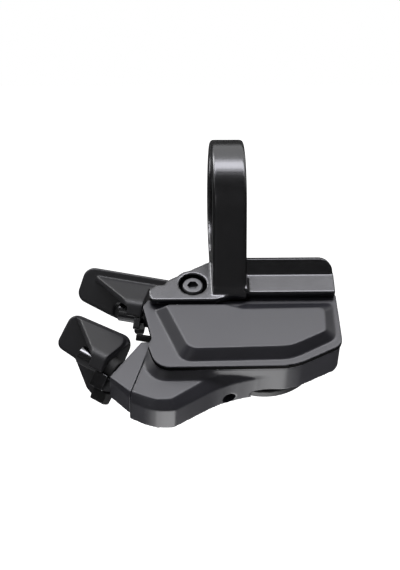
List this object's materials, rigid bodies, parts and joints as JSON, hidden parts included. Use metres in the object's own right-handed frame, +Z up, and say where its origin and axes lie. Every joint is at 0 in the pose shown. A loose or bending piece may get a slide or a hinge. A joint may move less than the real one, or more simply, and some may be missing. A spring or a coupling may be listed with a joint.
{
  "type": "trigger gear shifter",
  "caption": "Wireless trigger gear shifter with a handlebar band clamp, faceted housing, sprung thumb paddles on steel shafts and a coin-slot battery cap.",
  "frame": {"origin": "centre of the handlebar bore, midway along the clamp band's width", "axes": "+X along the handlebar towards the middle of the bicycle, -Y forwards, +Z up"},
  "size_m": [0.061, 0.0448, 0.0584],
  "materials": {
    "bracket_alloy": "satin black anodised",
    "bolt_steel": "satin",
    "cover_plastic": "fine matte",
    "housing_plastic": "fine matte",
    "pivot_cap_plastic": "fine matte",
    "battery_cap_plastic": "fine matte",
    "paddle_plastic": "matte",
    "shoe_alloy": "satin",
    "buffer_rubber": "matte",
    "seal_rubber": "matte",
    "shaft_chrome": "polished",
    "bush_resin": "self-lubricating resin",
    "cam_plastic": "matte",
    "spring_steel": "drawn wire",
    "screw_steel": "black oxide",
    "contact_steel": "plated",
    "cell_steel": "satin",
    "board_plastic": "coated",
    "chip_plastic": "matte",
    "switch_plastic": "matte"
  },
  "bodies": {
    "base": {"clamp_bracket": "bracket_alloy", "clamp_bolt": "bolt_steel", "front_cover": "cover_plastic", "main_housing": "housing_plastic", "pivot_cap": "pivot_cap_plastic", "cover_seal": "seal_rubber", "circuit_board": "board_plastic", "radio_chips": "chip_plastic", "upper_switch": "switch_plastic", "lower_switch": "switch_plastic", "battery_contact": "contact_steel", "coin_cell": "cell_steel", "cover_screws": "screw_steel", "bracket_screws": "screw_steel", "cap_screw": "screw_steel", "side_screw": "screw_steel", "upper_bush": "bush_resin", "lower_bush": "bush_resin", "upper_buffer": "buffer_rubber"},
    "upper_lever": {"upper_paddle": "paddle_plastic", "upper_shaft": "shaft_chrome", "upper_cam": "cam_plastic", "upper_spring": "spring_steel", "upper_shoe": "shoe_alloy", "upper_pinch_screws": "screw_steel"},
    "lower_lever": {"lower_paddle": "paddle_plastic", "lower_shaft": "shaft_chrome", "lower_cam": "cam_plastic", "lower_spring": "spring_steel", "lower_shoe": "shoe_alloy", "lower_pinch_screws": "screw_steel", "lower_buffer": "buffer_rubber"},
    "battery_door": {"battery_cap": "battery_cap_plastic", "battery_seal": "seal_rubber"}
  },
  "joints": [
    {"name": "upper_trigger", "type": "hinge", "parent": "base", "child": "upper_lever", "pos_m": [-0.0186, -0.00953, -0.02394], "axis": [0.9744, -0.1773, -0.1385], "range_deg": [0, 12], "stiffness_Nm_per_rad": 0.12, "springref_deg": -11.46},
    {"name": "lower_trigger", "type": "hinge", "parent": "base", "child": "lower_lever", "pos_m": [-0.0238, -0.02113, -0.03459], "axis": [0.8192, -0.452, -0.3531], "range_deg": [0, 12], "stiffness_Nm_per_rad": 0.12, "springref_deg": -11.46},
    {"name": "battery_cap_turn", "type": "hinge", "parent": "base", "child": "battery_door", "pos_m": [0.0072, -0.01231, -0.03119], "axis": [0, 0.6157, -0.788], "range_deg": [0, 60]}
  ]
}
